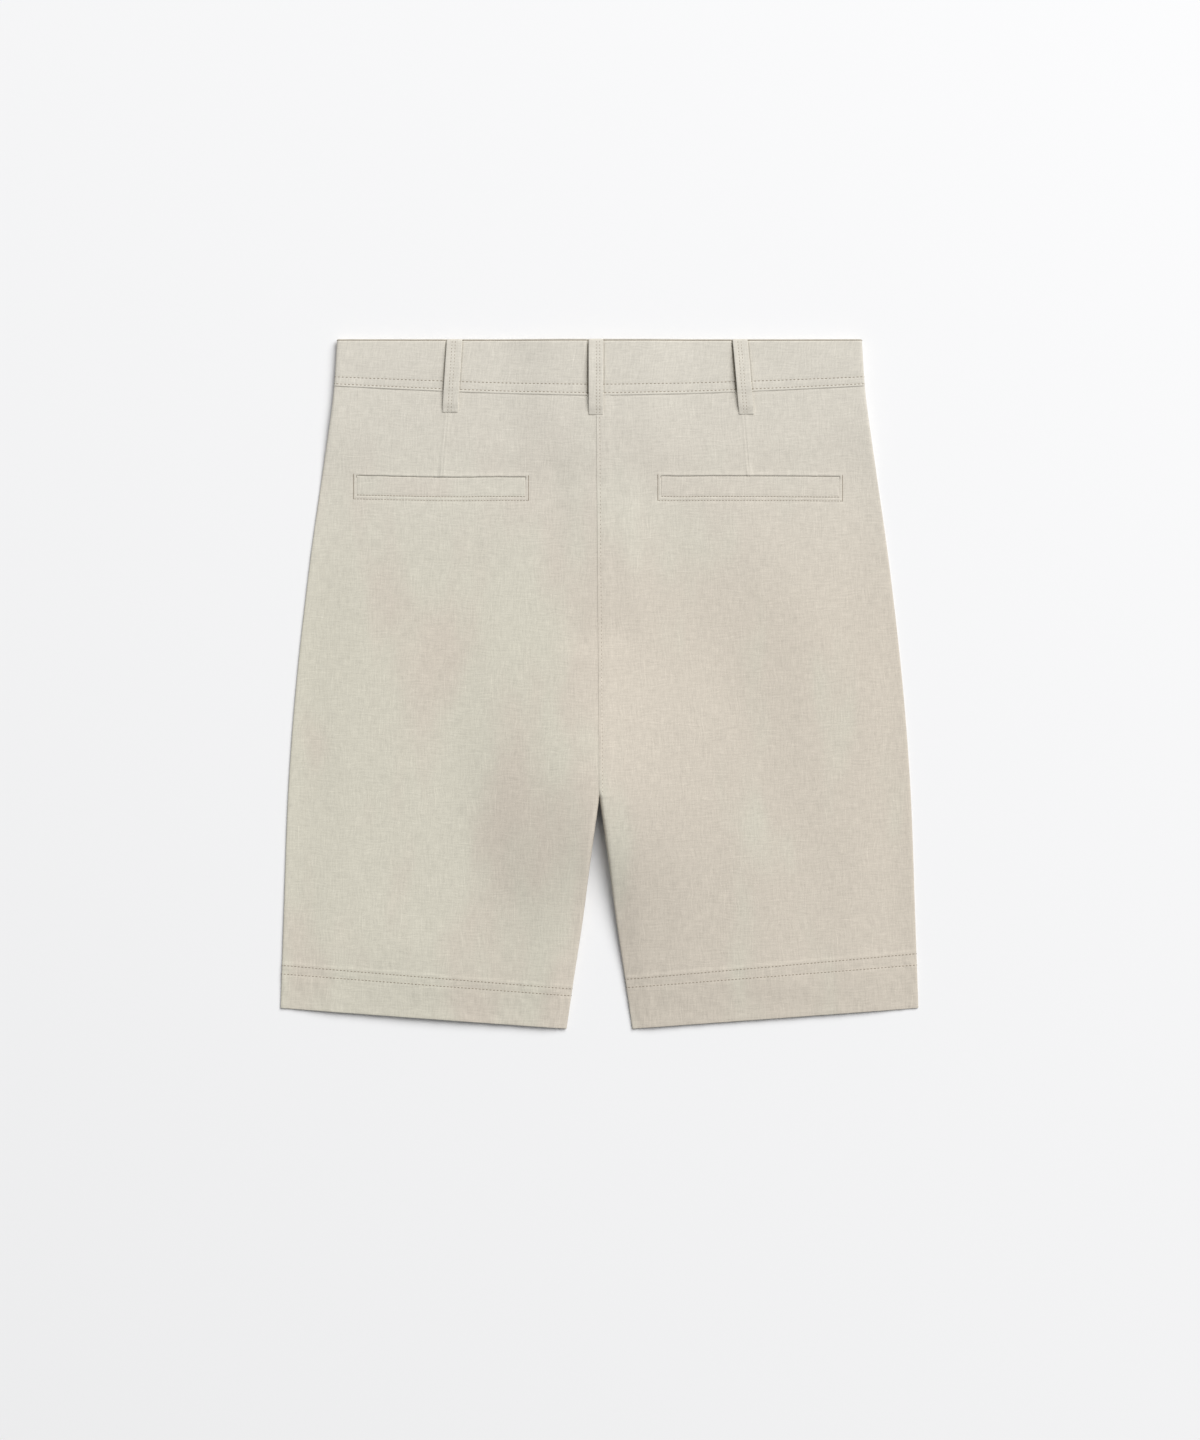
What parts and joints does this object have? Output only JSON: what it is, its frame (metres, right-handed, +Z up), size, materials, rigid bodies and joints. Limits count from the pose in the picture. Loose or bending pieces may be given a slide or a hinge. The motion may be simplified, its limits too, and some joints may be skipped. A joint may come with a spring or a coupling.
{
  "type": "bermuda shorts",
  "caption": "Woven bermuda shorts lying flat, back side up: waistband with belt loops, welt back pockets, darts, centre seam and wide straight legs with turned hems.",
  "frame": {"origin": "middle of the laid-out shorts on the surface that they lie on", "axes": "+Z up out of the back side, +Y from the hems to the waist, +X towards the wearer's right"},
  "size_m": [0.4866, 0.5258, 0.0158],
  "materials": {
    "linen": "pale beige plain-weave linen with fine slubs, matt",
    "pocketing": "thin plain cotton, matt",
    "zip_tape": "woven beige tape with a nylon coil",
    "zip_metal": "dull antique brass",
    "button": "horn-like, polished",
    "thread": "matching sewing thread"
  },
  "bodies": {
    "root": {"back_left": "linen", "back_right": "linen", "front_left": "linen", "front_right": "linen", "waistband": "linen", "belt_loop_back_left": "linen", "belt_loop_back_centre": "linen", "belt_loop_back_right": "linen", "belt_loop_front_left": "linen", "belt_loop_front_right": "linen", "pocket_welt_left": "linen", "pocket_welt_right": "linen", "pocket_bag_left": "pocketing", "pocket_bag_right": "pocketing", "zip_tape": "zip_tape", "zip_slider": "zip_metal", "zip_pull": "zip_metal", "waist_button": "button"}
  },
  "joints": []
}
